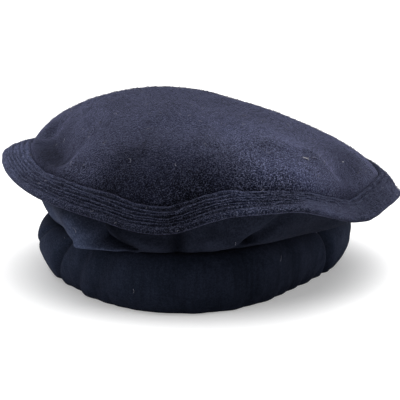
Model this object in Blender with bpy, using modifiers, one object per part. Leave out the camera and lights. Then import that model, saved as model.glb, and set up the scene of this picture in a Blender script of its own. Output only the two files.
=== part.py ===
# Pakol: a felt cap with a domed top, a stitched rim, a gathered side wall and a rolled brim.
# Metres, +Z up, the front towards -Y, the origin on the floor under the middle of the cap.
import math
from bisect import bisect_right
from collections import namedtuple

import bmesh
import bpy
from mathutils import Matrix, Vector

# Rolled brim
OPENING_WIDTH = 0.166        # clear head opening, across its short way
OPENING_LENGTH = 0.198       # clear head opening, along its long way
OPENING_TURN = -20.0         # degrees from the front to the end of the long way
ROLL_THICKNESS = 0.025       # wound cloth, from the inner turn to the outer one
ROLL_HEIGHT = 0.038
ROLL_ROUNDNESS = 2.3         # 2 is an ellipse in section, more is squarer
ROLL_SETTLE = 0.0016         # how far the soft roll presses flat on the floor

# Crown
CROWN_OVERHANG = 0.005       # from the roll's outer side to the rim's seam
CROWN_RADIUS = (OPENING_WIDTH + OPENING_LENGTH) / 4 + ROLL_THICKNESS + CROWN_OVERHANG
SEAM_RISE = 0.040            # from the top of the roll to the seam, where the crown isn't tipped
DOME_RISE = 0.042            # from that seam to the top of the dome
CLOTH = 0.0025               # felted wool
RIM_WIDTH = 0.0205
RIM_THICKNESS = 0.0042       # two layers of cloth, pressed by the stitching
RIM_RIBS = 6
RIB_RISE = 0.0006            # how far a rib stands above the stitching beside it
RIB_BAND = 0.0155            # width of the stitched rows, from the seam outward
FOLD_FADE = 20               # how sharply the dome's folds fade out at the seam
CLEARANCE = 0.0003           # between the dome's seam and the rim
WALL_CLEARANCE = 0.0008      # between the wall and the rim above it or the roll below it
WALL_SWING = 0.4             # share of the wall's height over which it leaves the rim at right angles
WALL_TUCK = 40.0             # degrees that the wall's foot wraps over the roll's inner shoulder

# Mesh density
ROUND_STEPS = 84
DOME_RINGS = 8
WALL_RINGS = 7
TUCK_RINGS = 3
ROLL_SIDES = 16
TURNED_RADIUS = 3.0          # of the wall's and the roll's profiles, before they are shaped

# The rim's section past its ribs, round the edge and back below to the seam. Share is of RIM_WIDTH from the
# seam outward, inset and above are shares of half of RIM_THICKNESS.
RimCorner = namedtuple("RimCorner", "share inset above")
RIM_CORNERS = (
    RimCorner(1.0, -1.0, 0.9),
    RimCorner(1.0, 0.0, 0.0),
    RimCorner(1.0, -1.0, -1.0),
    RimCorner(0.5, 0.0, -1.0),
    RimCorner(0.0, 1.4, -1.0),
)
RIM_LIP = -0.1               # height of the rim's inner edge, as a share of half of RIM_THICKNESS

# Crown by azimuth, 0 at the front and growing to the right. Reach and height place the seam, as shares of
# CROWN_RADIUS and SEAM_RISE. Droop is the rim's slope in degrees. Shoulder and fullness shape the dome.
CrownSection = namedtuple("CrownSection", "azimuth reach height droop shoulder fullness")
CROWN_SECTIONS = (
    CrownSection(-180, 1.000, 0.900, 22, 2.1, 0.68),
    CrownSection(-150, 1.000, 0.950, 22, 2.3, 0.54),
    CrownSection(-120, 1.000, 0.990, 20, 2.3, 0.56),
    CrownSection(-105, 1.000, 1.060, 19, 2.2, 0.60),
    CrownSection(-90, 0.985, 1.125, 16, 2.0, 0.66),
    CrownSection(-82, 0.980, 1.150, 17, 2.0, 0.66),
    CrownSection(-72, 0.985, 1.100, 15, 2.0, 0.66),
    CrownSection(-60, 0.990, 0.990, 14, 2.0, 0.66),
    CrownSection(-48, 1.000, 0.975, 25, 2.0, 0.64),
    CrownSection(-36, 1.000, 0.930, 33, 2.1, 0.60),
    CrownSection(-26, 1.000, 0.870, 37, 2.3, 0.56),
    CrownSection(-18, 1.000, 0.760, 36, 2.5, 0.52),
    CrownSection(-10, 1.000, 0.745, 40, 2.6, 0.50),
    CrownSection(-4, 1.000, 0.825, 42, 2.6, 0.50),
    CrownSection(2, 1.000, 0.940, 39, 2.5, 0.52),
    CrownSection(8, 1.000, 0.990, 33, 2.4, 0.54),
    CrownSection(15, 1.000, 0.950, 23, 2.0, 0.50),
    CrownSection(26, 1.000, 0.905, 20, 1.5, 0.42),
    CrownSection(36, 1.000, 0.800, 30, 1.35, 0.40),
    CrownSection(44, 1.000, 0.670, 34, 1.35, 0.42),
    CrownSection(52, 1.000, 0.545, 23, 1.4, 0.46),
    CrownSection(60, 1.000, 0.580, 19, 1.5, 0.54),
    CrownSection(68, 1.012, 0.655, 26, 1.5, 0.62),
    CrownSection(78, 1.025, 0.675, 34, 1.5, 0.66),
    CrownSection(90, 1.045, 0.610, 44, 1.6, 0.72),
    CrownSection(100, 1.030, 0.680, 36, 1.6, 0.79),
    CrownSection(112, 1.010, 0.690, 30, 1.7, 0.86),
    CrownSection(135, 1.000, 0.740, 24, 1.8, 0.90),
    CrownSection(160, 1.000, 0.830, 22, 2.0, 0.78),
)
DOME_CENTRE = (-0.18, 0.05)  # the dome's highest point, as shares of CROWN_RADIUS

# Folds of the dome: a ridge or a valley along a line in plan. Places are shares of CROWN_RADIUS,
# the spread and the lift are shares of DOME_RISE.
DomeFold = namedtuple("DomeFold", "start_x start_y end_x end_y spread lift")
DOME_FOLDS = (
    DomeFold(-0.86, -0.04, -0.70, -0.54, 0.26, -0.26),
    DomeFold(-0.20, -0.62, 0.10, -0.64, 0.34, -0.05),
    DomeFold(0.38, -0.68, 0.60, -0.62, 0.18, 0.05),
    DomeFold(0.60, -0.62, 0.74, -0.66, 0.16, 0.05),
    DomeFold(0.84, -0.50, 0.88, -0.42, 0.14, -0.06),
)

# Side wall by azimuth. Start is the share of RIM_WIDTH where the wall leaves the rim's underside.
# Belly and hang push its middle and its low part outward, as shares of ROLL_THICKNESS. Flop is how far it
# hangs over the roll's outer shoulder, in degrees from the roll's top.
WallSection = namedtuple("WallSection", "azimuth start belly hang flop")
WALL_SECTIONS = (
    WallSection(-180, 0.30, 0.10, 0.20, 0),
    WallSection(-120, 0.30, 0.10, 0.20, 0),
    WallSection(-92, 0.12, -0.12, 0.00, 0),
    WallSection(-78, 0.05, -0.16, -0.05, 0),
    WallSection(-64, 0.16, -0.12, 0.05, 0),
    WallSection(-52, 0.50, 0.00, 0.25, 4),
    WallSection(-40, 0.80, 0.18, 0.48, 22),
    WallSection(-28, 0.65, 0.15, 0.50, 14),
    WallSection(-15, 0.45, 0.20, 0.50, 4),
    WallSection(10, 0.40, 0.20, 0.55, 0),
    WallSection(30, 0.40, 0.10, 0.50, 0),
    WallSection(50, 0.30, 0.10, 0.40, 0),
    WallSection(90, 0.30, 0.10, 0.20, 0),
    WallSection(130, 0.30, 0.10, 0.20, 0),
)

# Pleats of the wall: a ridge or a valley along a line over the wall, from one azimuth and share of the way
# down to another. Spread and push are shares of ROLL_THICKNESS.
WallFold = namedtuple("WallFold", "start_azimuth start_share end_azimuth end_share spread push")
WALL_FOLDS = (
    WallFold(-41, 0.20, -29, 0.55, 0.26, -0.38),
    WallFold(-29, 0.55, -14, 0.80, 0.24, -0.38),
    WallFold(-52, 0.35, -42, 0.75, 0.26, 0.10),
    WallFold(-46, 0.66, -28, 0.88, 0.20, 0.16),
    WallFold(-24, 0.30, -12, 0.60, 0.30, 0.15),
    WallFold(-6, 0.35, -6, 0.90, 0.26, -0.35),
    WallFold(5, 0.55, 12, 0.75, 0.30, 0.22),
    WallFold(14, 0.85, 21, 0.55, 0.26, -0.32),
    WallFold(21, 0.55, 28, 0.25, 0.28, -0.22),
    WallFold(26, 0.75, 46, 0.65, 0.34, 0.14),
)

# Rolled brim by azimuth. Reach moves the roll out of its oval, as a share of ROLL_THICKNESS, thickness is a
# share of ROLL_THICKNESS and height of ROLL_HEIGHT.
RollSection = namedtuple("RollSection", "azimuth reach thickness height")
ROLL_SECTIONS = (
    RollSection(-180, 0.00, 1.00, 1.00),
    RollSection(-120, 0.02, 1.00, 0.98),
    RollSection(-84, 0.20, 1.00, 0.96),
    RollSection(-66, 0.12, 1.02, 0.98),
    RollSection(-50, -0.02, 1.04, 1.00),
    RollSection(-30, 0.10, 1.00, 1.00),
    RollSection(-12, 0.24, 1.00, 1.00),
    RollSection(8, 0.20, 1.00, 1.00),
    RollSection(24, -0.02, 1.00, 1.00),
    RollSection(38, -0.24, 1.00, 0.98),
    RollSection(54, -0.28, 1.00, 0.96),
    RollSection(72, -0.08, 1.00, 0.94),
    RollSection(95, 0.04, 1.00, 0.94),
    RollSection(140, 0.00, 1.00, 0.96),
)

# Creases down the outside of the roll, from an azimuth at its top to one at its foot. The spread is in
# degrees, the depth is a share of ROLL_THICKNESS.
RollFold = namedtuple("RollFold", "top_azimuth foot_azimuth spread depth")
ROLL_FOLDS = (
    RollFold(-64, -82, 4.0, 0.14),
    RollFold(-46, -58, 4.0, 0.14),
    RollFold(-36, -46, 4.0, 0.05),
    RollFold(-24, -30, 5.0, 0.03),
    RollFold(16, 20, 4.0, 0.03),
    RollFold(48, 61, 4.0, 0.16),
    RollFold(118, 128, 5.0, 0.10),
    RollFold(-150, -142, 5.0, 0.10),
)


def blended(rows, column, azimuth):
    """Value of a table column at any azimuth, smooth through the rows and round the ring."""
    azimuth = (azimuth + 180.0) % 360.0 - 180.0
    count = len(rows)
    index = bisect_right([row.azimuth for row in rows], azimuth) - 1

    def row_at(step):
        turns, place = divmod(index + step, count)
        return rows[place].azimuth + 360.0 * turns, getattr(rows[place], column)

    (a0, v0), (a1, v1), (a2, v2), (a3, v3) = (row_at(step) for step in (-1, 0, 1, 2))
    slope1 = (v2 - v0) / (a2 - a0)
    slope2 = (v3 - v1) / (a3 - a1)
    span = a2 - a1
    t = (azimuth - a1) / span
    return ((1 + 2 * t) * (1 - t) ** 2 * v1 + t * (1 - t) ** 2 * span * slope1
            + t * t * (3 - 2 * t) * v2 + t * t * (t - 1) * span * slope2)


def outward(azimuth):
    """Level unit vector from the middle of the cap towards an azimuth."""
    return Vector((math.sin(math.radians(azimuth)), -math.cos(math.radians(azimuth)), 0.0))


def seam_point(azimuth):
    """Where the dome meets the stitched rim."""
    point = outward(azimuth) * CROWN_RADIUS * blended(CROWN_SECTIONS, "reach", azimuth)
    point.z = ROLL_HEIGHT + SEAM_RISE * blended(CROWN_SECTIONS, "height", azimuth)
    return point


def rim_point(azimuth, along, above):
    """A point of the rim: along it from the seam outward, and above its middle surface."""
    droop = math.radians(blended(CROWN_SECTIONS, "droop", azimuth))
    level = outward(azimuth)
    up = Vector((0.0, 0.0, 1.0))
    return (seam_point(azimuth) + (level * math.cos(droop) - up * math.sin(droop)) * along
            + (level * math.sin(droop) + up * math.cos(droop)) * above)


def fold_height(x, y):
    """Sum of the dome's ridges and valleys at a place in plan."""
    total = 0.0
    here = Vector((x / CROWN_RADIUS, y / CROWN_RADIUS))
    for fold in DOME_FOLDS:
        start = Vector((fold.start_x, fold.start_y))
        run = Vector((fold.end_x, fold.end_y)) - start
        along = max(0.0, min(1.0, (here - start).dot(run) / run.length_squared))
        away = (here - start - run * along).length * CROWN_RADIUS
        total += fold.lift * DOME_RISE * math.exp(-(away / (fold.spread * DOME_RISE)) ** 2)
    return total


def dome_point(azimuth, share):
    """A point of the dome's outer surface, from its top (share 0) to the seam (share 1)."""
    seam = seam_point(azimuth)
    top = Vector((DOME_CENTRE[0] * CROWN_RADIUS, DOME_CENTRE[1] * CROWN_RADIUS,
                  ROLL_HEIGHT + SEAM_RISE + DOME_RISE))
    point = top.lerp(seam, share)
    shoulder = blended(CROWN_SECTIONS, "shoulder", azimuth)
    fullness = blended(CROWN_SECTIONS, "fullness", azimuth)
    rise = max(0.0, 1.0 - share ** shoulder) ** fullness
    point.z = seam.z + (top.z - seam.z) * rise
    point.z += fold_height(point.x, point.y) * (1.0 - share ** FOLD_FADE)
    return point


def roll_middle(azimuth):
    """Centre line of the roll in plan, and its outward direction."""
    half_width = (OPENING_WIDTH + ROLL_THICKNESS) / 2
    half_length = (OPENING_LENGTH + ROLL_THICKNESS) / 2
    turn = math.radians(azimuth - OPENING_TURN)
    point = Vector((half_width * math.sin(turn), -half_length * math.cos(turn), 0.0))
    side = Vector((half_length * math.sin(turn), -half_width * math.cos(turn), 0.0)).normalized()
    rotation = Matrix.Rotation(math.radians(OPENING_TURN), 3, "Z")
    side = rotation @ side
    return rotation @ point + side * ROLL_THICKNESS * blended(ROLL_SECTIONS, "reach", azimuth), side


def rounded(value):
    """Sine or cosine bent towards a squarer section."""
    return math.copysign(abs(value) ** (2.0 / ROLL_ROUNDNESS), value)


def crease_depth(azimuth, level):
    """How deep the roll's creases are at an azimuth, and at a level from its foot (0) to its top (1)."""
    total = 0.0
    for fold in ROLL_FOLDS:
        centre = fold.foot_azimuth + (fold.top_azimuth - fold.foot_azimuth) * level
        away = (azimuth - centre + 180.0) % 360.0 - 180.0
        total += fold.depth * ROLL_THICKNESS * math.exp(-(away / fold.spread) ** 2)
    return total


def roll_point(azimuth, turn):
    """A point of the roll's surface: turn 0 faces outward, 90 degrees is the top."""
    middle, side = roll_middle(azimuth)
    half_thickness = ROLL_THICKNESS / 2 * blended(ROLL_SECTIONS, "thickness", azimuth)
    half_height = (ROLL_HEIGHT * blended(ROLL_SECTIONS, "height", azimuth) + ROLL_SETTLE) / 2
    across = rounded(math.cos(math.radians(turn)))
    upward = rounded(math.sin(math.radians(turn)))
    crease = crease_depth(azimuth, (1.0 + upward) / 2) * max(0.0, across)
    point = middle + side * (half_thickness * across - crease)
    point.z = max(0.0, half_height * (1.0 + upward) - ROLL_SETTLE)
    return point


def pleat_push(azimuth, share):
    """How far the wall's pleats push a place of the wall outward."""
    total = 0.0
    arc = math.radians(1.0) * CROWN_RADIUS
    drop = SEAM_RISE
    here = Vector((azimuth * arc, share * drop))
    for fold in WALL_FOLDS:
        start = Vector((fold.start_azimuth * arc, fold.start_share * drop))
        run = Vector((fold.end_azimuth * arc, fold.end_share * drop)) - start
        along = max(0.0, min(1.0, (here - start).dot(run) / run.length_squared))
        away = (here - start - run * along).length
        total += fold.push * ROLL_THICKNESS * math.exp(-(away / (fold.spread * ROLL_THICKNESS)) ** 2)
    return total


def roll_cover(azimuth, turn):
    """A point that stands clear of the roll's surface."""
    side = roll_middle(azimuth)[1]
    up = Vector((0.0, 0.0, 1.0))
    away = side * math.cos(math.radians(turn)) + up * math.sin(math.radians(turn))
    return roll_point(azimuth, turn) + away * WALL_CLEARANCE


def wall_point(azimuth, share):
    """A point of the wall's outer surface, from under the rim (0) to the roll (1) and over it (2)."""
    flop = blended(WALL_SECTIONS, "flop", azimuth)
    if share > 1.0:
        return roll_cover(azimuth, 90.0 - flop + (WALL_TUCK + flop) * (share - 1.0))
    start = blended(WALL_SECTIONS, "start", azimuth) * RIM_WIDTH
    belly = blended(WALL_SECTIONS, "belly", azimuth) * ROLL_THICKNESS
    hang = blended(WALL_SECTIONS, "hang", azimuth) * ROLL_THICKNESS
    under = -RIM_THICKNESS / 2 - WALL_CLEARANCE
    top = rim_point(azimuth, start, under)
    foot = roll_cover(azimuth, 90.0 - flop)
    level = outward(azimuth)
    sagging = level * math.cos(math.radians(flop)) - Vector((0.0, 0.0, math.sin(math.radians(flop))))
    upper = rim_point(azimuth, start, under - (top - foot).length * WALL_SWING) + level * belly
    lower = foot + sagging * hang
    rest = 1.0 - share
    hung = top * rest ** 3 + upper * 3 * rest ** 2 * share + lower * 3 * rest * share ** 2 + foot * share ** 3
    return hung + level * pleat_push(azimuth, share) * math.sin(math.pi * share)


def new_object(name, collection):
    """An empty mesh object in the collection."""
    part = bpy.data.objects.new(name, bpy.data.meshes.new(name))
    collection.objects.link(part)
    return part


def spun(profile, closed, steps):
    """A profile of points (radius, height) turned once round the Z axis."""
    mesh = bmesh.new()
    corners = [mesh.verts.new((radius, 0.0, height)) for radius, height in profile]
    pairs = list(zip(corners, corners[1:]))
    if closed:
        pairs.append((corners[-1], corners[0]))
    edges = [mesh.edges.new(pair) for pair in pairs]
    bmesh.ops.spin(mesh, geom=corners + edges, cent=(0, 0, 0), axis=(0, 0, 1), dvec=(0, 0, 0),
                   angle=math.tau, steps=steps, use_merge=True)
    bmesh.ops.remove_doubles(mesh, verts=mesh.verts, dist=1e-6)
    return mesh


def shaped(part, mesh, place):
    """Moves every vertex of a turned mesh to its place on the cap, and stores it in the object."""
    for vertex in mesh.verts:
        azimuth = math.degrees(math.atan2(vertex.co.x, -vertex.co.y))
        vertex.co = place(azimuth, math.hypot(vertex.co.x, vertex.co.y), vertex.co.z)
    bmesh.ops.recalc_face_normals(mesh, faces=mesh.faces)
    mesh.to_mesh(part.data)
    mesh.free()
    part.data.shade_smooth()
    return part


def make_crown_top(collection):
    """The domed top panel: a sheet with the cloth's thickness under it."""
    part = new_object("crown_top", collection)
    quarter = math.pi / 2
    profile = [(math.sin(quarter * ring / DOME_RINGS), 0.0) for ring in range(DOME_RINGS + 1)]
    shaped(part, spun(profile, False, ROUND_STEPS),
           lambda azimuth, radius, height: dome_point(azimuth, radius))
    cloth = part.modifiers.new("cloth", "SOLIDIFY")
    cloth.thickness = CLOTH
    cloth.offset = -1.0
    return part


def rim_profile():
    """Section of the rim: (along, above) from the seam over the ribs, round the edge and back below."""
    half = RIM_THICKNESS / 2
    pitch = RIB_BAND / RIM_RIBS
    points = [(CLEARANCE, half * RIM_LIP)]
    for rib in range(RIM_RIBS):
        points.append((CLEARANCE + pitch * (rib + 0.5), half + RIB_RISE))
        points.append((CLEARANCE + pitch * (rib + 1), half))
    for corner in RIM_CORNERS:
        points.append((RIM_WIDTH * corner.share + half * corner.inset, half * corner.above))
    return points


def make_stitched_rim(collection):
    """The stiff ring of stitched rows."""
    part = new_object("stitched_rim", collection)
    profile = [(CROWN_RADIUS + along, above) for along, above in rim_profile()]
    return shaped(part, spun(profile, True, ROUND_STEPS),
                  lambda azimuth, radius, height: rim_point(azimuth, radius - CROWN_RADIUS, height))


def make_side_wall(collection):
    """The gathered wall: a sheet with the cloth's thickness inside it."""
    part = new_object("side_wall", collection)
    shares = [ring / WALL_RINGS for ring in range(WALL_RINGS + 1)]
    shares += [1.0 + (ring + 1) / TUCK_RINGS for ring in range(TUCK_RINGS)]
    profile = [(TURNED_RADIUS - share, 0.0) for share in shares]
    shaped(part, spun(profile, False, ROUND_STEPS),
           lambda azimuth, radius, height: wall_point(azimuth, TURNED_RADIUS - radius))
    cloth = part.modifiers.new("cloth", "SOLIDIFY")
    cloth.thickness = CLOTH
    cloth.offset = -1.0
    return part


def make_rolled_brim(collection):
    """The wound roll of cloth."""
    part = new_object("rolled_brim", collection)
    turns = [math.tau * side / ROLL_SIDES for side in range(ROLL_SIDES)]
    profile = [(TURNED_RADIUS + math.cos(turn), math.sin(turn)) for turn in turns]
    return shaped(part, spun(profile, True, ROUND_STEPS), lambda azimuth, radius, height: roll_point(
        azimuth, math.degrees(math.atan2(height, radius - TURNED_RADIUS))))


def felt(name, colour, roughness):
    """A plain Principled felt."""
    material = bpy.data.materials.new(name)
    material.use_nodes = True
    shader = material.node_tree.nodes["Principled BSDF"]
    shader.inputs["Base Color"].default_value = (*colour, 1.0)
    shader.inputs["Roughness"].default_value = roughness
    shader.inputs["Metallic"].default_value = 0.0
    return material


def centre_on_origin(parts, base):
    """Moves the cap so that the middle of its box lies over the origin."""
    bpy.context.view_layer.update()
    corners = [vertex.co for part in parts for vertex in part.data.vertices]
    middle = [(min(c[axis] for c in corners) + max(c[axis] for c in corners)) / 2 for axis in (0, 1)]
    base.location = (-middle[0], -middle[1], 0.0)
    for part in parts:
        part.parent = base


def main():
    """Builds the cap."""
    for old in list(bpy.data.objects):
        bpy.data.objects.remove(old)
    collection = bpy.data.collections.new("pakol")
    bpy.context.scene.collection.children.link(collection)
    base = bpy.data.objects.new("pakol_base", None)
    collection.objects.link(base)
    finishes = (
        (make_crown_top, felt("crown_felt", (0.020, 0.021, 0.042), 0.95)),
        (make_stitched_rim, felt("rim_felt", (0.022, 0.023, 0.045), 0.9)),
        (make_side_wall, felt("wall_felt", (0.014, 0.016, 0.030), 0.95)),
        (make_rolled_brim, felt("roll_felt", (0.012, 0.014, 0.028), 0.9)),
    )
    parts = []
    for make, material in finishes:
        part = make(collection)
        part.data.materials.append(material)
        parts.append(part)
    centre_on_origin(parts, base)


main()
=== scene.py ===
# A dark wool felt cap with a domed crown, a stitched rim, a gathered wall and a rolled brim.
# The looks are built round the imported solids. Metres, +Z up, the front towards -Y.
import math
import random
from bisect import bisect_right
from functools import lru_cache

import bmesh
import bpy
from mathutils import Matrix, Vector, noise
from mathutils.bvhtree import BVHTree


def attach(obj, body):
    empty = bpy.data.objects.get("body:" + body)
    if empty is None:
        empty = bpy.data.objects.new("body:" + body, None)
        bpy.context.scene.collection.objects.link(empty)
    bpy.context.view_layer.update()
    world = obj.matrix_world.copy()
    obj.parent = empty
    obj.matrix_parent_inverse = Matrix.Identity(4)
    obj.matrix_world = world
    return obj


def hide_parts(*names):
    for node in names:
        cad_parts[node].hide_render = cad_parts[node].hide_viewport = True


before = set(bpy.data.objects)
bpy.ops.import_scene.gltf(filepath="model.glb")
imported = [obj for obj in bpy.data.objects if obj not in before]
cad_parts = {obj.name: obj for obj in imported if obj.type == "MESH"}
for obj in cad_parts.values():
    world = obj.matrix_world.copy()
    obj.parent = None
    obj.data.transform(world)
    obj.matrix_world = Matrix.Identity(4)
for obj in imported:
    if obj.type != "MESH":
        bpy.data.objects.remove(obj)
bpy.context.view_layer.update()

density = 1.0
capMiddle = Vector((-0.00111, -0.001516, 0.0))  # the crown's axis in the frame

# Azimuths are degrees round the cap, 0 at the front and growing to the right.
crown = {
    "radius": 0.121,      # from the crown's axis to the rim's seam
    "seamRise": 0.040,    # from the roll's top to the seam
    "domeRise": 0.042,    # from the seam to the dome's top
    "cloth": 0.0025,
    "topPlace": (-0.18, 0.05),  # of the dome's highest point, as shares of the radius
    "around": 420,
    "rings": 72,
    "fade": 20,           # how sharply the folds fade out at the seam
    # azimuth, then reach, height, droop, shoulder and fullness
    "sections": (
        (-180, 1.000, 0.900, 22, 2.1, 0.68),
        (-150, 1.000, 0.950, 22, 2.3, 0.54),
        (-120, 1.000, 0.990, 20, 2.3, 0.56),
        (-105, 1.000, 1.060, 19, 2.2, 0.60),
        (-90, 0.985, 1.125, 16, 2.0, 0.66),
        (-82, 0.980, 1.150, 17, 2.0, 0.66),
        (-72, 0.985, 1.100, 15, 2.0, 0.66),
        (-60, 0.990, 0.990, 14, 2.0, 0.66),
        (-48, 1.000, 0.975, 25, 2.0, 0.64),
        (-36, 1.000, 0.930, 33, 2.1, 0.60),
        (-26, 1.000, 0.870, 37, 2.3, 0.56),
        (-18, 1.000, 0.760, 36, 2.5, 0.52),
        (-10, 1.000, 0.745, 40, 2.6, 0.50),
        (-4, 1.000, 0.825, 42, 2.6, 0.50),
        (2, 1.000, 0.940, 39, 2.5, 0.52),
        (8, 1.000, 0.990, 33, 2.4, 0.54),
        (15, 1.000, 0.950, 23, 2.0, 0.50),
        (26, 1.000, 0.905, 20, 1.5, 0.42),
        (36, 1.000, 0.800, 30, 1.35, 0.40),
        (44, 1.000, 0.670, 34, 1.35, 0.42),
        (52, 1.000, 0.545, 23, 1.4, 0.46),
        (60, 1.000, 0.580, 19, 1.5, 0.54),
        (68, 1.012, 0.655, 26, 1.5, 0.62),
        (78, 1.025, 0.675, 34, 1.5, 0.66),
        (90, 1.045, 0.610, 44, 1.6, 0.72),
        (100, 1.030, 0.680, 36, 1.6, 0.79),
        (112, 1.010, 0.690, 30, 1.7, 0.86),
        (135, 1.000, 0.740, 24, 1.8, 0.90),
        (160, 1.000, 0.830, 22, 2.0, 0.78),
    ),
    # ridges and dents along a line in plan: from x, y to x, y in radii, spread and lift in domeRise
    "folds": (
        (-0.86, -0.04, -0.70, -0.54, 0.26, -0.26),
        (-0.20, -0.62, 0.10, -0.64, 0.34, -0.05),
        (0.38, -0.68, 0.60, -0.62, 0.18, 0.05),
        (0.60, -0.62, 0.74, -0.66, 0.16, 0.05),
        (0.84, -0.50, 0.88, -0.42, 0.14, -0.06),
    ),
    # finer dents beside the seam, in the same columns
    "dents": (
        (-0.90, -0.20, -0.82, -0.48, 0.20, -0.10),
        (-0.66, -0.30, -0.66, -0.58, 0.16, 0.06),
        (0.74, -0.60, 0.84, -0.48, 0.12, -0.07),
    ),
    # painted shade and painted light in place of the dome's shading, in the same columns, the last one a share
    # of the colour
    "paintedShadingAndWear": (
        (-0.42, -0.86, 0.05, -0.96, 0.42, -0.36),
        (-0.84, -0.22, -0.78, -0.54, 0.44, -0.50),
        (-0.60, -0.62, -0.30, -0.74, 0.30, -0.08),
        (0.20, -0.68, 0.52, -0.54, 0.50, 0.85),
        (0.34, -0.88, 0.62, -0.78, 0.28, 0.95),
        (0.76, -0.42, 0.84, -0.30, 0.44, -0.40),
        (0.70, -0.68, 0.78, -0.60, 0.28, -0.40),
    ),
    "lumps": ((0.045, 0.0007), (0.014, 0.0003), (0.005, 0.00012)),  # wavelength, height
}

rim = {
    "width": 0.0205,
    "thickness": 0.0042,
    "ribs": (1.45, 1.10, 0.95, 0.85, 0.80, 0.85),  # widths from the seam outward, their mean 1
    "ribRise": 0.0009,
    "grooveDepth": 0.0011,
    "ribRound": 0.5,      # less is a flatter rib with a narrower groove
    "ribPaintedShading": 0.55,      # painted highlight on a rib, as a share of its colour
    # painted shade in the stitching's grooves
    "stitchPaintedShade": -0.92,
    "plainTone": 0.30,    # outside the ribs
    "edgePaintedShade": -0.45,    # painted shade round the edge and underneath
    # painted light and painted shade round the rim: azimuth and tone
    "paintedShadingByAzimuth": ((-180, 0.2), (-110, 0.9), (-84, 2.2), (-60, 1.2), (-30, -0.1), (-5, -0.25),
             (14, 1.1), (24, 0.95), (34, 0.35), (44, 0.0), (90, -0.05), (140, 0.2)),
    # azimuth, and the share of the band from which the ribs are pressed flat
    "plain": ((-180, 1.3), (-120, 1.3), (-60, 1.3), (0, 1.3), (20, 1.2), (30, 0.62), (42, 0.40),
              (60, 0.34), (100, 0.34), (125, 0.6), (150, 1.3)),
    "band": 0.0155,       # width of the stitched rows
    "gap": 0.0003,        # between the dome's seam and the rim
    "lip": (-0.0012, -0.4),  # tucked under the dome's edge: place in metres, height in half thicknesses
    "gapHeight": -0.1,    # of the section at the gap, in half thicknesses
    "around": 540,
    "ribSides": 6,
    "evenTwist": 0.3,     # twist in a groove, as a share of the one on a rib
    "flatRun": 0.12,      # share of the band over which the ribs flatten
    "flatness": 0.9,
    "flatHeight": 0.4,    # of the flattened band, as a share of a rib's rise
    "flatSwell": 0.7,     # its painted shading, as a share of the way from the stitching's painted shade to a rib's painted highlight
    "ripple": 0.0040,     # length of a rib's twist
    "uneven": 0.0007,     # how far the twist lifts it
    "wander": 0.016,      # length over which a rib wanders sideways
    "drift": 0.0014,      # how far it wanders
    "lumps": ((0.010, 0.0003), (0.0035, 0.00015)),
    # the section past the ribs: share of the width, then inset and height in half thicknesses
    "corners": (
        (1.0, -1.9, 1.05), (1.0, -1.2, 1.0), (1.0, -0.6, 0.85), (1.0, -0.2, 0.5), (1.0, 0.0, 0.0),
        (1.0, -0.2, -0.5), (1.0, -0.6, -0.85), (1.0, -1.2, -1.0), (0.75, 0.0, -1.0), (0.5, 0.0, -1.0),
        (0.25, 0.0, -1.0), (0.0, 1.4, -1.0), (0.0, 0.5, -0.5),
    ),
}

wall = {
    "gap": 0.0008,        # to the rim above and the roll below
    "swing": 0.4,         # how far it hangs straight down from the rim, as a share of its height
    "tuck": 40.0,         # degrees over the roll's inner shoulder
    "around": 420,
    "rings": 44,
    "tuckRings": 8,
    # azimuth, then start, belly, hang and flop over the roll's shoulder
    "sections": (
        (-180, 0.30, 0.10, 0.20, 0),
        (-120, 0.30, 0.10, 0.20, 0),
        (-92, 0.12, -0.12, 0.00, 0),
        (-78, 0.05, -0.16, -0.05, 0),
        (-64, 0.16, -0.12, 0.05, 0),
        (-52, 0.50, 0.00, 0.25, 4),
        (-40, 0.80, 0.18, 0.48, 22),
        (-28, 0.65, 0.15, 0.50, 14),
        (-15, 0.45, 0.20, 0.50, 4),
        (10, 0.40, 0.20, 0.55, 0),
        (30, 0.40, 0.10, 0.50, 0),
        (50, 0.30, 0.10, 0.40, 0),
        (90, 0.30, 0.10, 0.20, 0),
        (130, 0.30, 0.10, 0.20, 0),
    ),
    # pleats: azimuth and share of the way down, from and to, spread and push in roll thicknesses
    "folds": (
        (-60, 0.15, -54, 0.45, 0.50, 0.18),
        (-30, 0.10, -28, 0.45, 0.14, -0.42),
        (-28, 0.45, -19, 0.72, 0.12, -0.34),
        (-37, 0.18, -35, 0.60, 0.38, 0.30),
        (-45, 0.84, -38, 0.88, 0.32, -0.22),
        (-34, 0.60, -25, 0.86, 0.17, 0.28),
        (-24, 0.25, -12, 0.58, 0.26, 0.16),
        (-6, 0.30, -5, 0.95, 0.17, -0.42),
        (1, 0.50, 3, 0.90, 0.10, -0.12),
        (5, 0.55, 12, 0.75, 0.28, 0.20),
        (11, 0.92, 18, 0.62, 0.18, -0.34),
        (18, 0.62, 25, 0.12, 0.17, -0.28),
        (26, 0.75, 46, 0.65, 0.34, 0.12),
    ),
    # painted light and painted shade on the cloth: azimuth and share, from and to, spread, and the last a share
    # of the colour
    "paintedShadingAndWear": (
        (24, 0.50, 50, 0.50, 0.7, -0.12),
        (-7, 0.50, -4, 1.00, 0.30, -0.35),
        (-27, 0.10, -19, 0.60, 0.18, -0.60),
        (-60, 0.25, -34, 0.62, 0.46, 2.80),
        (-37, 0.22, -33, 0.52, 0.20, 2.00),
        (-36, 0.66, -24, 0.84, 0.15, 1.80),
        (-30, 0.97, 24, 0.97, 0.16, -0.45),
    ),
    "lumps": ((0.030, 0.0006), (0.010, 0.00025), (0.004, 0.0001)),
    "calm": 0.008,        # height above the roll over which the lumps fade in
}

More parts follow.
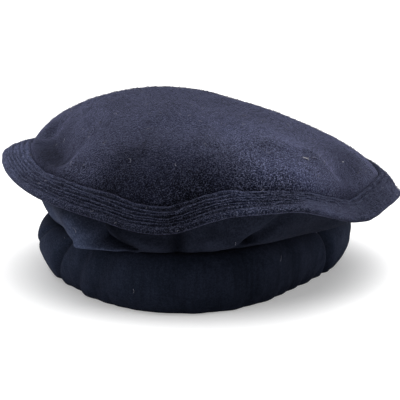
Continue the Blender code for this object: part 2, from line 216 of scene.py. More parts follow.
roll = {
    "openingWidth": 0.166,
    "openingLength": 0.198,
    "openingTurn": -20.0,
    "thickness": 0.025,
    "height": 0.038,
    "roundness": 2.3,
    "settle": 0.0016,     # how far it presses flat on the floor
    "around": 720,
    "sides": 56,
    # azimuth, then reach, thickness and height, and how far the foot is drawn in
    "sections": (
        (-180, 0.00, 1.00, 1.00, 0.05), (-120, 0.02, 1.00, 0.98, 0.08), (-84, 0.20, 1.00, 0.96, 0.18),
        (-66, 0.12, 1.02, 0.98, 0.30), (-50, -0.02, 1.04, 1.00, 0.25), (-30, 0.10, 1.00, 1.00, 0.10),
        (-12, 0.24, 1.00, 1.00, 0.03), (8, 0.20, 1.00, 1.00, 0.03), (24, -0.02, 1.00, 1.00, 0.04),
        (38, -0.24, 1.00, 0.98, 0.12), (54, -0.28, 1.00, 0.96, 0.28), (72, -0.08, 1.00, 0.94, 0.28),
        (95, 0.04, 1.00, 0.94, 0.16), (140, 0.00, 1.00, 0.96, 0.06),
    ),
    # creases: azimuth at the top and at the foot, spread in degrees, depth in roll thicknesses
    "folds": (
        (-67, -94, 2.0, 0.19),
        (-49, -65, 2.0, 0.21),
        (-37, -48, 2.4, 0.09),
        (-27, -37, 2.8, 0.06),
        (-5, -4, 3.0, 0.03),
        (16, 20, 3.0, 0.03),
        (36, 42, 3.0, 0.04),
        (58, 66, 1.8, 0.20),
        (84, 90, 2.6, 0.10),
        (118, 128, 3.0, 0.12),
        (160, 168, 3.0, 0.10),
        (-150, -142, 3.0, 0.12),
        (-118, -124, 2.6, 0.10),
    ),
    "swelling": 0.12,     # of the cloth on both sides of a crease, as a share of its depth
    "swellSpread": 7.0,   # its squared width, in the crease's own
    "drawnPower": 2,      # how much of the drawing in stays at the foot
    "creasePaintedShade": -3.4,   # painted shade in a crease, for its depth
    # painted light and painted shade round the roll: azimuth and tone
    "paintedShadingByAzimuth": ((-180, 0.2), (-84, 1.2), (-66, 1.1), (-50, 0.65), (-34, 0.28), (-10, -0.12), (10, -0.32),
             (30, -0.15), (50, 0.05), (64, 0.55), (90, 0.6), (140, 0.2)),
    "wrinkles": ((0.0045, 0.00022), (0.0020, 0.00010)),  # upright ones: spacing, height
    "wrinkleLength": 8,   # in spacings
    "scallop": (0.020, 0.0050),  # spacing and depth along the foot
    "scallopHeight": 0.009,
    "scallopEven": 0.25,  # shifts the scallops so that they leave the foot's size as it is
    "lumps": ((0.030, 0.0004), (0.006, 0.0001)),
    "calm": 0.004,        # height above the floor over which the lumps fade in
}


def outward(azimuth):
    return Vector((math.sin(math.radians(azimuth)), -math.cos(math.radians(azimuth)), 0.0))


def blended(rows, azimuth):
    # every column at an azimuth, smooth through the rows and round the ring
    azimuth = (azimuth + 180.0) % 360.0 - 180.0
    index = bisect_right(rows, (azimuth, math.inf)) - 1
    near = []
    for step in (-1, 0, 1, 2):
        turns, place = divmod(index + step, len(rows))
        near.append((rows[place][0] + 360.0 * turns, rows[place][1:]))
    (a0, v0), (a1, v1), (a2, v2), (a3, v3) = near
    span = a2 - a1
    t = (azimuth - a1) / span
    start, end = (1 + 2 * t) * (1 - t) ** 2, t * t * (3 - 2 * t)
    leave, arrive = t * (1 - t) ** 2 * span / (a2 - a0), t * t * (t - 1) * span / (a3 - a1)
    return [start * q1 + leave * (q2 - q0) + end * q2 + arrive * (q3 - q1)
            for q0, q1, q2, q3 in zip(v0, v1, v2, v3)]


@lru_cache(None)
def crownAt(azimuth):
    return blended(crown["sections"], azimuth)


@lru_cache(None)
def plainAt(azimuth):
    return blended(rim["plain"], azimuth)


# painted light and shade round the rim
@lru_cache(None)
def paintedShadingByAzimuthAt(azimuth):
    return blended(rim["paintedShadingByAzimuth"], azimuth)[0]


@lru_cache(None)
def wallAt(azimuth):
    return blended(wall["sections"], azimuth)


@lru_cache(None)
def rollAt(azimuth):
    return blended(roll["sections"], azimuth)


def foldLines(rows, scaleX, scaleY, unit):
    # a table of folds in metres, ready for foldSum
    return [(x0 * scaleX, y0 * scaleY, (x1 - x0) * scaleX, (y1 - y0) * scaleY,
             (spread * unit) ** 2, lift * unit)
            for x0, y0, x1, y1, spread, lift in rows]


def foldSum(x, y, lines):
    # how far all folds lift the place x, y
    total = 0.0
    for startX, startY, runX, runY, spread, lift in lines:
        along = ((x - startX) * runX + (y - startY) * runY) / (runX * runX + runY * runY)
        along = min(1.0, max(0.0, along))
        away = ((x - startX - runX * along) ** 2 + (y - startY - runY * along) ** 2) / spread
        if away < 9.0:  # past three spreads a fold has died out
            total += lift * math.exp(-away)
    return total


@lru_cache(None)
def seamPoint(azimuth):
    reach, height = crownAt(azimuth)[:2]
    point = outward(azimuth) * crown["radius"] * reach
    point.z = roll["height"] + crown["seamRise"] * height
    return point


@lru_cache(None)
def rimAxes(azimuth):
    # the rim's outward run and its upper side's direction
    droop = math.radians(crownAt(azimuth)[2])
    level, up = outward(azimuth), Vector((0.0, 0.0, 1.0))
    return (level * math.cos(droop) - up * math.sin(droop), level * math.sin(droop) + up * math.cos(droop))


def rimPoint(azimuth, along, above):
    run, lift = rimAxes(azimuth)
    return seamPoint(azimuth) + run * along + lift * above


domeFolds = foldLines(crown["folds"] + crown["dents"], crown["radius"], crown["radius"], crown["domeRise"])
# lines of painted light and shade on the dome
domePaintedShadingLines = foldLines(crown["paintedShadingAndWear"], crown["radius"], crown["radius"], crown["domeRise"])
wallArc = math.radians(1.0) * crown["radius"]  # metres to a degree round the wall
wallFolds = foldLines(wall["folds"], wallArc, crown["seamRise"], roll["thickness"])
# lines of painted light and shade on the wall
wallPaintedShadingLines = foldLines(wall["paintedShadingAndWear"], wallArc, crown["seamRise"], roll["thickness"])


def domePoint(azimuth, share):
    seam = seamPoint(azimuth)
    shoulder, fullness = crownAt(azimuth)[3:]
    radius, rise = crown["radius"], crown["domeRise"]
    top = Vector((crown["topPlace"][0] * radius, crown["topPlace"][1] * radius,
                  roll["height"] + crown["seamRise"] + rise))
    point = top.lerp(seam, share)
    point.z = seam.z + (top.z - seam.z) * max(0.0, 1.0 - share ** shoulder) ** fullness
    point.z += foldSum(point.x, point.y, domeFolds) * (1.0 - share ** crown["fade"])
    return point


@lru_cache(None)
def rollMiddle(azimuth):
    halfWidth = (roll["openingWidth"] + roll["thickness"]) / 2
    halfLength = (roll["openingLength"] + roll["thickness"]) / 2
    turn = math.radians(azimuth - roll["openingTurn"])
    point = Vector((halfWidth * math.sin(turn), -halfLength * math.cos(turn), 0.0))
    side = Vector((halfLength * math.sin(turn), -halfWidth * math.cos(turn), 0.0)).normalized()
    spinning = Matrix.Rotation(math.radians(roll["openingTurn"]), 3, "Z")
    side = spinning @ side
    return spinning @ point + side * roll["thickness"] * rollAt(azimuth)[0], side


def squared(value):
    return math.copysign(abs(value) ** (2.0 / roll["roundness"]), value)


def creased(azimuth, level, swelling):
    # how deep the roll's creases are at a place, in roll thicknesses
    total = 0.0
    for topAzimuth, footAzimuth, spread, depth in roll["folds"]:
        away = (azimuth - footAzimuth - (topAzimuth - footAzimuth) * level + 180.0) % 360.0 - 180.0
        away = (away / spread) ** 2
        total += depth * (math.exp(-away) - swelling * math.exp(-away / roll["swellSpread"]))
    return total


def rollPoint(azimuth, turn):
    # turn 0 faces outward, 90 degrees is the top
    middle, side = rollMiddle(azimuth)
    thickness, height, drawn = rollAt(azimuth)[1:]
    halfHeight = (roll["height"] * height + roll["settle"]) / 2
    across, upward = squared(math.cos(math.radians(turn))), squared(math.sin(math.radians(turn)))
    level = (1.0 + upward) / 2
    crease = creased(azimuth, level, roll["swelling"]) + drawn * (1.0 - level) ** roll["drawnPower"]
    reach = roll["thickness"] * (thickness * across / 2 - crease * max(0.0, across))
    point = middle + side * reach
    point.z = max(0.0, halfHeight * (1.0 + upward) - roll["settle"])
    return point


def rollCover(azimuth, turn):
    side, up = rollMiddle(azimuth)[1], Vector((0.0, 0.0, 1.0))
    away = side * math.cos(math.radians(turn)) + up * math.sin(math.radians(turn))
    return rollPoint(azimuth, turn) + away * wall["gap"]


@lru_cache(None)
def wallCurve(azimuth):
    # the four points that the wall hangs by, from the rim down to the roll
    start, belly, hang, flop = wallAt(azimuth)
    start *= rim["width"]
    under = -rim["thickness"] / 2 - wall["gap"]
    top, foot, level = rimPoint(azimuth, start, under), rollCover(azimuth, 90.0 - flop), outward(azimuth)
    upper = rimPoint(azimuth, start, under - (top - foot).length * wall["swing"])
    sagging = level * math.cos(math.radians(flop)) - Vector((0.0, 0.0, math.sin(math.radians(flop))))
    return (top, upper + level * belly * roll["thickness"], foot + sagging * hang * roll["thickness"], foot)


def wallPoint(azimuth, share):
    # share 0 is under the rim, 1 on top of the roll, 2 over the roll's inner shoulder
    if share > 1.0:
        flop = wallAt(azimuth)[3]
        return rollCover(azimuth, 90.0 - flop + (wall["tuck"] + flop) * (share - 1.0))
    top, upper, lower, foot = wallCurve(azimuth)
    rest = 1.0 - share
    hung = top * rest ** 3 + upper * 3 * rest ** 2 * share + lower * 3 * rest * share ** 2 + foot * share ** 3
    push = foldSum(azimuth * wallArc, share * crown["seamRise"], wallFolds)
    return hung + outward(azimuth) * push * math.sin(math.pi * share)


def spun(profile, closed, steps):
    # a profile of (radius, height) turned once round the Z axis
    mesh = bmesh.new()
    corners = [mesh.verts.new((radius, 0.0, height)) for radius, height in profile]
    pairs = list(zip(corners, corners[1:] + corners[:1] if closed else corners[1:]))
    edges = [mesh.edges.new(pair) for pair in pairs]
    bmesh.ops.spin(mesh, geom=corners + edges, cent=(0, 0, 0), axis=(0, 0, 1), dvec=(0, 0, 0),
                   angle=math.tau, steps=steps, use_merge=True)
    bmesh.ops.remove_doubles(mesh, verts=mesh.verts, dist=1e-6)
    return mesh


def shape(mesh, place):
    # moves each vertex of a turned mesh to its place on the cap
    for vertex in mesh.verts:
        azimuth = round(math.degrees(math.atan2(vertex.co.x, -vertex.co.y)), 4)
        vertex.co = place(azimuth, math.hypot(vertex.co.x, vertex.co.y), vertex.co.z) + capMiddle
    bmesh.ops.recalc_face_normals(mesh, faces=mesh.faces)
    mesh.normal_update()


def paintedShading(mesh, tone):
    # stores each vertex's painted light and shade, before the turned mesh is shaped
    layer = mesh.verts.layers.float.new("paintedShading")
    for vertex in mesh.verts:
        azimuth = round(math.degrees(math.atan2(vertex.co.x, -vertex.co.y)), 4)
        vertex[layer] = tone(azimuth, math.hypot(vertex.co.x, vertex.co.y), vertex.co.z)


def roughen(mesh, lumps, seed, keep=lambda point: 1.0):
    # uneven felt: noise of several wavelengths along the normals
    mesh.normal_update()
    shift = Vector((seed, seed * 2.3, seed * 1.7))
    moves = [vertex.normal * keep(vertex.co)
             * sum(height * noise.noise(vertex.co / wave + shift) for wave, height in lumps)
             for vertex in mesh.verts]
    for vertex, move in zip(mesh.verts, moves):
        vertex.co += move


surfaces = {}  # of the finished pieces, for the fibres to stand on


def piece(name, mesh, finish, node, cloth=0.0):
    surfaces[name] = BVHTree.FromBMesh(mesh)
    part = bpy.data.objects.new(name, bpy.data.meshes.new(name))
    bpy.context.scene.collection.objects.link(part)
    mesh.to_mesh(part.data)
    mesh.free()
    part.data.shade_smooth()
    part.data.materials.append(finish)
    if cloth:
        solid = part.modifiers.new("cloth", "SOLIDIFY")
        solid.thickness = cloth
        solid.offset = -1.0
    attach(part, "root")
    if node:
        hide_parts(node)
    print("made", name, len(part.data.polygons), "faces")
    return part


class Wire:
    # one socket of a finish, whose sums add Math nodes
    def __init__(self, finish, socket):
        self.finish, self.socket = finish, socket

    def maths(self, operation, *values):
        return self.finish.node("ShaderNodeMath", {"operation": operation}, dict(enumerate(values)))

    def __add__(self, other):
        return self.maths("ADD", self, other)

    def __radd__(self, other):
        return self.maths("ADD", other, self)

    def __sub__(self, other):
        return self.maths("SUBTRACT", self, other)

    def __rsub__(self, other):
        return self.maths("SUBTRACT", other, self)

    def __mul__(self, other):
        return self.maths("MULTIPLY", self, other)

    def __rmul__(self, other):
        return self.maths("MULTIPLY", other, self)

    def between(self, low, high):
        # 0 below low, 1 above high, smooth between them
        return self.finish.node("ShaderNodeMapRange", {"interpolation_type": "SMOOTHSTEP"},
                                {"Value": self, "From Min": low, "From Max": high})


class Finish:
    # a material: its nodes, and its Principled shader
    def __init__(self, name, **constants):
        self.material = bpy.data.materials.new(name)
        self.material.use_nodes = True
        self.tree = self.material.node_tree
        self.shader = self.tree.nodes["Principled BSDF"]
        for key, value in constants.items():
            self.shader.inputs[key].default_value = value

    def node(self, kind, settings=None, sockets=None, output=0):
        made = self.tree.nodes.new(kind)
        for key, value in (settings or {}).items():
            setattr(made, key, value)
        for key, value in (sockets or {}).items():
            self.feed(made.inputs[key], value)
        return Wire(self, made.outputs[output])

    def feed(self, socket, value):
        if isinstance(value, Wire):
            self.tree.links.new(value.socket, socket)
        elif socket.type == "RGBA":
            socket.default_value = (*value, 1.0)
        else:
            socket.default_value = value

    def noise(self, place, scale, detail=3.0, roughness=0.5, distortion=0.0):
        return self.node("ShaderNodeTexNoise", None, {
            "Vector": place, "Scale": scale, "Detail": detail, "Roughness": roughness,
            "Distortion": distortion})

    def mix(self, share, first, second):
        made = self.tree.nodes.new("ShaderNodeMix")
        made.data_type = "RGBA"
        for socket, value in ((made.inputs[0], share), (made.inputs[6], first), (made.inputs[7], second)):
            self.feed(socket, value)
        return Wire(self, made.outputs[2])


# Felt: the pile's dark and light wool, its flecks' colour and strength, the nap's height in metres,
# its sheen's strength and softness, and how much upright streaks change its tone
felts = {
    "crown_felt": {"dark": (0.0009, 0.0014, 0.0035), "light": (0.0105, 0.0125, 0.028),
                   "fleck": (0.115, 0.125, 0.20), "flecks": 0.64, "nap": 0.0013, "sheen": 0.36, "soft": 0.36},
    "rim_felt": {"dark": (0.0009, 0.0014, 0.0035), "light": (0.008, 0.0102, 0.021),
                 "fleck": (0.115, 0.125, 0.19), "flecks": 0.30, "nap": 0.0012, "sheen": 0.24, "soft": 0.36},
    "wall_felt": {"dark": (0.0063, 0.0082, 0.0147), "light": (0.0138, 0.0167, 0.0288),
                  "fleck": (0.05, 0.055, 0.08), "flecks": 0.08, "nap": 0.0004, "sheen": 0.02, "soft": 0.5},
    "roll_felt": {"dark": (0.0065, 0.0095, 0.0175), "light": (0.0125, 0.0165, 0.0300),
                  "fleck": (0.05, 0.06, 0.09), "flecks": 0.08, "nap": 0.0003, "sheen": 0.06,
                  "soft": 0.5, "streaks": 0.7},
}

# What all four felts share. Noise: scale for each metre, detail, roughness, distortion
wool = {
    "cloud": (38.0, 3.0, 0.5, 0.0),      # uneven dyeing and brushing
    "pile": (780.0, 4.0, 0.65, 0.6),     # matted tufts
    "fibre": (1500.0, 2.0, 0.6, 1.2),    # single fibres
    "speck": (1500.0, 1.0, 0.5, 0.4),    # fibre tips: random pale grain, partly painted glints
    "streak": (330.0, 3.0, 0.5, 0.0),    # upright marks of wear
    "upright": (1.0, 1.0, 0.09),         # stretches the streaks' noise upward
    "toneBand": (0.42, 0.60),            # of the noise from dark wool to light
    "fleckBand": (0.53, 0.64),
    "rough": 0.98,
    "lightRough": 0.12,                  # how much less rough light wool is
    "shine": 0.04,
    # specular of the shader without sheen that painted shade mixes in
    "paintedShadeShine": 0.02,
    "sheenTint": (0.56, 0.59, 1.0, 1.0),
}


def makeFelt(name):
    look = felts[name]
    felt = Finish(name, **{"Metallic": 0.0, "Specular IOR Level": wool["shine"], "Sheen Weight": look["sheen"],
                           "Sheen Roughness": look["soft"], "Sheen Tint": wool["sheenTint"]})
    place = felt.node("ShaderNodeTexCoord", output="Object")
    cloud = felt.noise(place, *wool["cloud"])
    pile = felt.noise(place, *wool["pile"])
    fibre = felt.noise(place, *wool["fibre"])
    speck = felt.noise(place, *wool["speck"])
    tone = (cloud * 0.3 + pile * 0.5 + fibre * 0.2).between(*wool["toneBand"])
    colour = felt.mix(tone, look["dark"], look["light"])
    # the painted light and shade that each piece stores on its vertices
    paintedShadingAndWear = felt.node("ShaderNodeAttribute", {"attribute_name": "paintedShading"}, output="Fac")
    # the roll's upright streaks of wear add to the painted light and shade
    if "streaks" in look:
        upright = felt.node("ShaderNodeVectorMath", {"operation": "MULTIPLY"}, {0: place, 1: wool["upright"]})
        paintedShadingAndWear = paintedShadingAndWear + (felt.noise(upright, *wool["streak"]) - 0.5) * look["streaks"]
    outsidePaintedShade = (paintedShadingAndWear + 1.0).between(0.0, 1.0)  # 1 outside painted shade, 0 in the deepest painted shade, where the shader without sheen takes over
    # the pale flecks fade out in painted shade
    fleck = speck.between(*wool["fleckBand"]) * outsidePaintedShade * look["flecks"]
    colour = felt.mix(fleck, colour, look["fleck"])
    # painted light and shade lighten or darken the colour
    colour = felt.node("ShaderNodeVectorMath", {"operation": "SCALE"},
                       {"Vector": colour, "Scale": paintedShadingAndWear + 1.0})
    roughness = wool["rough"] - tone * wool["lightRough"]
    felt.feed(felt.shader.inputs["Base Color"], colour)
    felt.feed(felt.shader.inputs["Roughness"], roughness)
    height = (pile * 0.6 + fibre * 0.3 + speck * 0.5) * outsidePaintedShade
    bump = felt.node("ShaderNodeBump", None, {"Strength": 1.0, "Distance": look["nap"], "Height": height})
    felt.feed(felt.shader.inputs["Normal"], bump)
    # a shader without sheen, mixed in where the painted shade is
    paintedShadeMatte = felt.node("ShaderNodeBsdfPrincipled", None, {
        "Base Color": colour, "Roughness": roughness, "Normal": bump,
        "Specular IOR Level": wool["paintedShadeShine"]})
    nap = Wire(felt, felt.shader.outputs[0])
    both = felt.node("ShaderNodeMixShader", None, {0: outsidePaintedShade, 1: paintedShadeMatte, 2: nap})
    felt.feed(felt.tree.nodes["Material Output"].inputs["Surface"], both)
    return felt.material


finishes = {name: makeFelt(name) for name in felts}
print("made the felt finishes")

# Crown
quarter = math.pi / 2
dome = spun([(math.sin(quarter * ring / crown["rings"]), 0.0) for ring in range(crown["rings"] + 1)],
            False, int(crown["around"] * density))


# painted light and shade on the dome, from its table
def domePaintedShading(azimuth, radius, height):
    point = domePoint(azimuth, radius)
    return foldSum(point.x, point.y, domePaintedShadingLines) / crown["domeRise"]


paintedShading(dome, domePaintedShading)
shape(dome, lambda azimuth, radius, height: domePoint(azimuth, radius))
roughen(dome, crown["lumps"], 3.1)
crownTop = piece("crownTop", dome, finishes["crown_felt"], "crown_top", crown["cloth"])

# Rim
half = rim["thickness"] / 2
groove = half - rim["grooveDepth"]  # height of the grooves' bottoms
ribFloor = groove - 0.0001          # whatever is lower is the edge or the underside
pitch = rim["band"] / len(rim["ribs"])
ribStarts = [rim["gap"] + pitch * sum(rim["ribs"][:count]) for count in range(len(rim["ribs"]))]
lipPlace, lipHeight = rim["lip"]
section = [(lipPlace, lipHeight * half), (rim["gap"], rim["gapHeight"] * half)]
for start, width in zip(ribStarts, rim["ribs"]):
    for side in range(rim["ribSides"]):
        share = (side + 0.5) / rim["ribSides"]
        swell = math.sin(math.pi * share) ** rim["ribRound"]
        section.append((start + pitch * width * share,
                        groove + (rim["grooveDepth"] + rim["ribRise"]) * swell))
for share, inset, above in rim["corners"]:
    section.append((rim["width"] * share + half * inset, half * above))


def isRibbed(along, height):
    return height > ribFloor and along < rim["band"] + rim["gap"]


def ribSwell(height):
    # 0 in a groove's bottom, 1 on a rib's crest
    return (height - groove) / (rim["grooveDepth"] + rim["ribRise"])


def flattened(azimuth, along):
    # 1 where the ribs are pressed flat
    return min(1.0, max(0.0, (along / rim["band"] - plainAt(azimuth)[0]) / rim["flatRun"]))


def ribbedPoint(azimuth, radius, height):
    # the ribs twist a little like cord, and wander
    along = radius - crown["radius"]
    rib = bisect_right(ribStarts, along)
    place = outward(azimuth) * crown["radius"]
    if isRibbed(along, height):
        twist = noise.noise(Vector((place.x / rim["ripple"], place.y / rim["ripple"], rib * 7.3)))
        flat = flattened(azimuth, along)
        height += rim["uneven"] * twist * (rim["evenTwist"] + ribSwell(height)) * (1.0 - flat)
        height += (half + rim["flatHeight"] * rim["ribRise"] - height) * flat * rim["flatness"]
        wander = noise.noise(Vector((place.x / rim["wander"], place.y / rim["wander"], rib * 0.9)))
        along += rim["drift"] * wander * min(1.0, along / pitch)
    return rimPoint(azimuth, along, height)


def ribPaintedShading(azimuth, radius, height):
    # painted highlight on the ribs, painted shade in the stitching and underneath, and painted light and shade
    # round the rim
    along = radius - crown["radius"]
    paintedShadingByAzimuth = paintedShadingByAzimuthAt(azimuth)
    if height < ribFloor or along <= 0.0:
        return rim["edgePaintedShade"] + paintedShadingByAzimuth
    if along > rim["band"] + rim["gap"]:
        return rim["plainTone"] + paintedShadingByAzimuth
    swell = ribSwell(height)
    swell += (rim["flatSwell"] - swell) * flattened(azimuth, along)
    return rim["stitchPaintedShade"] + (rim["ribPaintedShading"] + paintedShadingByAzimuth - rim["stitchPaintedShade"]) * swell


ring = spun([(crown["radius"] + along, above) for along, above in section], True, int(rim["around"] * density))
paintedShading(ring, ribPaintedShading)
shape(ring, ribbedPoint)
roughen(ring, rim["lumps"], 8.7)
piece("stitchedRim", ring, finishes["rim_felt"], "stitched_rim")

# Side wall
turned = 3.0
shares = [step / wall["rings"] for step in range(wall["rings"] + 1)]
shares += [1.0 + (step + 1) / wall["tuckRings"] for step in range(wall["tuckRings"])]
tube = spun([(turned - share, 0.0) for share in shares], False, int(wall["around"] * density))
# painted light and shade on the wall, from its table
paintedShading(tube, lambda azimuth, radius, height: foldSum(
    azimuth * wallArc, (turned - radius) * crown["seamRise"], wallPaintedShadingLines) / roll["thickness"])
shape(tube, lambda azimuth, radius, height: wallPoint(azimuth, turned - radius))
roughen(tube, wall["lumps"], 5.9,
        lambda point: min(1.0, max(0.0, (point.z - roll["height"]) / wall["calm"])))
sideWall = piece("sideWall", tube, finishes["wall_felt"], "side_wall", crown["cloth"])

# Rolled brim
turns = [math.tau * side / roll["sides"] for side in range(roll["sides"])]
wound = spun([(turned + math.cos(turn), math.sin(turn)) for turn in turns], True, int(roll["around"] * density))


def woundPoint(azimuth, radius, height):
    turn = math.atan2(height, radius - turned)
    point = rollPoint(azimuth, math.degrees(turn))
    side = rollMiddle(azimuth)[1]
    outer = max(0.0, math.cos(turn)) ** 0.5
    arc = math.radians(azimuth) * crown["radius"]
    push = 0.0
    for spacing, depth in roll["wrinkles"]:
        upright = point.z / (spacing * roll["wrinkleLength"])
        push += depth * noise.noise(Vector((arc / spacing, upright, spacing * 900)))
    spacing, depth = roll["scallop"]
    low = math.exp(-(point.z / roll["scallopHeight"]) ** 2)
    push += depth * low * (abs(noise.noise(Vector((arc / spacing, 4.2, 0.0)))) - roll["scallopEven"])
    return point + side * push * outer


# painted light and shade round the roll, and painted shade in its creases
def rollPaintedShading(azimuth, radius, height):
    level = (1.0 + squared(height)) / 2
    return blended(roll["paintedShadingByAzimuth"], azimuth)[0] + roll["creasePaintedShade"] * creased(azimuth, level, 0.0)


paintedShading(wound, rollPaintedShading)
shape(wound, woundPoint)
roughen(wound, roll["lumps"], 1.3, lambda point: min(1.0, point.z / roll["calm"]))
rolledBrim = piece("rolledBrim", wound, finishes["roll_felt"], "rolled_brim")

# Lint and nap: fine curled fibres that stand on the felt. Lengths in metres, curl in radians, and then
# how many stand on each piece.
fibres = {
    "nap": {"radius": 0.00006, "steps": 2, "length": (0.0010, 0.0026), "rise": 0.55, "curl": 0.5,
            "colour": (0.050, 0.052, 0.085), "dome": 6500, "rim": 3000},
    "lint": {"radius": 0.00011, "steps": 6, "length": (0.0012, 0.0045), "rise": 0.16, "curl": 2.6,
             "colour": (0.24, 0.24, 0.30), "dome": 90, "rim": 26, "wall": 10, "roll": 12},
    "thread": {"radius": 0.00016, "steps": 8, "rise": 0.2, "curl": 2.2, "colour": (0.80, 0.79, 0.82)},
}
# the larger bits of lint: azimuth, share of the way from the dome's top to the seam, length
whiteLint = ((38, 0.90, 0.0046), (39, 0.905, 0.0024), (62, 0.90, 0.0018))
paleLint = (
    (68, 0.96, 0.0030), (40, 0.97, 0.0028), (24, 0.88, 0.0034), (30, 0.62, 0.0030), (4, 0.53, 0.0034),
    (-20, 0.50, 0.0030), (-74, 0.82, 0.0034), (-56, 0.72, 0.0040), (-36, 0.80, 0.0030), (162, 0.12, 0.0026),
    (-98, 0.72, 0.0034), (66, 0.955, 0.0026), (46, 0.93, 0.0030), (20, 0.60, 0.0026), (8, 0.60, 0.0026),
)
chance = random.Random(41)
castFrom, castReach = 0.006, 0.014  # where a line towards the felt starts and how long it is
domeEye = Vector((0.0, 0.0, 0.05))  # how far below the floor the dome's lines spread from
rollTurns = (70.0, -50.0)           # the band of the roll that carries lint, in degrees of its section


def landing(name, point, away):
    # where a line towards the cap meets a piece, and which way its surface faces there
    start = point + capMiddle + away * castFrom
    place, facing = surfaces[name].ray_cast(start, -away, castReach)[:2]
    return place and (place, facing if facing.dot(away) > 0.0 else -facing)


def onDome(azimuth, share):
    point = domePoint(azimuth, share)
    return landing("crownTop", point, (point + domeEye).normalized())


def onRim(azimuth, share):
    return landing("stitchedRim", rimPoint(azimuth, rim["width"] * share * 0.95, half), rimAxes(azimuth)[1])


def onWall(azimuth, share):
    return landing("sideWall", wallPoint(azimuth, share), outward(azimuth))


def onRoll(azimuth, share):
    turn = rollTurns[0] + (rollTurns[1] - rollTurns[0]) * share
    level = rollMiddle(azimuth)[1] * math.cos(math.radians(turn))
    away = level + Vector((0.0, 0.0, math.sin(math.radians(turn))))
    return landing("rolledBrim", rollPoint(azimuth, turn), away)


def strand(curve, place, facing, length, look):
    # one fibre that leaves the felt at a slant and curls
    across = facing.cross(Vector((chance.gauss(0, 1), chance.gauss(0, 1), chance.gauss(0, 1)))).normalized()
    turnAway = look["curl"] * chance.uniform(-1.0, 1.0)
    rise = look["rise"] * chance.uniform(0.4, 1.3)
    line = curve.splines.new("POLY")
    line.points.add(look["steps"])
    point = place + facing * look["radius"] * 0.5
    for step in range(look["steps"] + 1):
        line.points[step].co = (*point, 1.0)
        heading = across.copy()
        heading.rotate(Matrix.Rotation(turnAway * step / look["steps"], 3, facing))
        lift = rise * math.cos(math.pi * step / look["steps"] * 0.8)
        point = point + (heading + facing * lift) * length / look["steps"]


def fibreCurve(name, look, starts):
    curve = bpy.data.curves.new(name, "CURVE")
    curve.dimensions = "3D"
    curve.bevel_depth = look["radius"]
    curve.bevel_resolution = 0
    for start, length in starts:
        if start:
            strand(curve, *start, length, look)
    hairs = bpy.data.objects.new(name, curve)
    bpy.context.scene.collection.objects.link(hairs)
    hair = Finish(name, **{"Roughness": 0.9, "Specular IOR Level": 0.1})
    shade = hair.noise(hair.node("ShaderNodeTexCoord", output="Object"), 260.0)
    dull = tuple(0.45 * value for value in look["colour"])
    pale = hair.mix(shade.between(0.35, 0.65), dull, look["colour"])
    hair.feed(hair.shader.inputs["Base Color"], pale)
    curve.materials.append(hair.material)
    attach(hairs, "root")
    print("made", name, len(curve.splines), "fibres")


def scattered(look):
    # fibres at random over each place that the look names
    starts = []
    for place, target in (("dome", onDome), ("rim", onRim), ("wall", onWall), ("roll", onRoll)):
        for count in range(int(look.get(place, 0) * density)):
            share = chance.random()
            spot = target(chance.uniform(-180.0, 180.0), share ** 0.5 * 0.99 if place == "dome" else share)
            starts.append((spot, chance.uniform(*look["length"])))
    return starts


fibreCurve("napFibres", fibres["nap"], scattered(fibres["nap"]))
placed = [(onDome(azimuth, share), length) for azimuth, share, length in paleLint]
fibreCurve("lintFibres", fibres["lint"], scattered(fibres["lint"]) + placed)
placed = [(onDome(azimuth, share), length) for azimuth, share, length in whiteLint]
fibreCurve("whiteLint", fibres["thread"], placed)

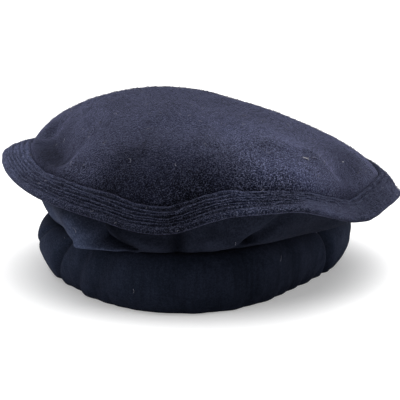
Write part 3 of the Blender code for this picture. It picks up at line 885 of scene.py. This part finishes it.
# Floor, light and camera
stage = {
    "floorRadius": 7.0,
    "floorColour": (0.78, 0.78, 0.785),
    "grain": 0.985,       # of the paper, as a share of its colour
    "lift": 0.30,         # how much brighter the camera sees the floor than it lights the cap
    "sky": 0.38,
    "backdrop": 0.97,
    "sun": 4.8,
    "sunSpread": 75.0,
    "sunWay": (-0.10, -0.28, -1.0),  # from above and a little behind
}
ground = bmesh.new()
bmesh.ops.create_circle(ground, cap_ends=True, segments=96, radius=stage["floorRadius"])
floor = bpy.data.objects.new("floor", bpy.data.meshes.new("floor"))
ground.to_mesh(floor.data)
ground.free()
bpy.context.scene.collection.objects.link(floor)
paper = Finish("paper", **{"Roughness": 0.9})
grain = paper.noise(paper.node("ShaderNodeTexCoord", output="Object"), 3.0)
greyer = tuple(stage["grain"] * value for value in stage["floorColour"])
paper.feed(paper.shader.inputs["Base Color"], paper.mix(grain, stage["floorColour"], greyer))
seen = paper.node("ShaderNodeLightPath", output="Is Camera Ray")
paper.feed(paper.shader.inputs["Emission Color"], paper.mix(seen, (0.0, 0.0, 0.0), (stage["lift"],) * 3))
paper.feed(paper.shader.inputs["Emission Strength"], 1.0)
floor.data.materials.append(paper.material)

lightData = bpy.data.lights.new("softbox", "SUN")
lightData.energy = stage["sun"]
lightData.angle = math.radians(stage["sunSpread"])
softbox = bpy.data.objects.new("softbox", lightData)
softbox.rotation_euler = Vector(stage["sunWay"]).to_track_quat("-Z", "Y").to_euler()
bpy.context.scene.collection.objects.link(softbox)
world = bpy.data.worlds.new("studio")
world.use_nodes = True
sky = world.node_tree.nodes["Background"]
sky.inputs["Color"].default_value = (1.0, 1.0, 1.0, 1.0)
rays = world.node_tree.nodes.new("ShaderNodeLightPath")
strength = world.node_tree.nodes.new("ShaderNodeMapRange")  # the backdrop looks brighter than it lights
strength.inputs["To Min"].default_value = stage["sky"]
strength.inputs["To Max"].default_value = stage["backdrop"]
world.node_tree.links.new(rays.outputs["Is Camera Ray"], strength.inputs["Value"])
world.node_tree.links.new(strength.outputs[0], sky.inputs["Strength"])
bpy.context.scene.world = world
bpy.context.scene.view_settings.view_transform = "Standard"

view = {"elevation": 17.0, "distance": 0.8, "scale": 1098.0, "picture": 400.0, "rise": 57.0}
tilt = math.radians(view["elevation"])
camera = bpy.data.objects.new("camera", bpy.data.cameras.new("camera"))
camera.location = capMiddle + Vector((0.0, -math.cos(tilt), math.sin(tilt))) * view["distance"]
camera.rotation_euler = (math.pi / 2 - tilt, 0.0, 0.0)
camera.data.sensor_width = 36.0
camera.data.lens = 36.0 * view["scale"] / view["picture"]
camera.data.shift_y = view["rise"] / view["picture"]
bpy.context.scene.collection.objects.link(camera)
bpy.context.scene.camera = camera
print("set the floor, lights and camera")
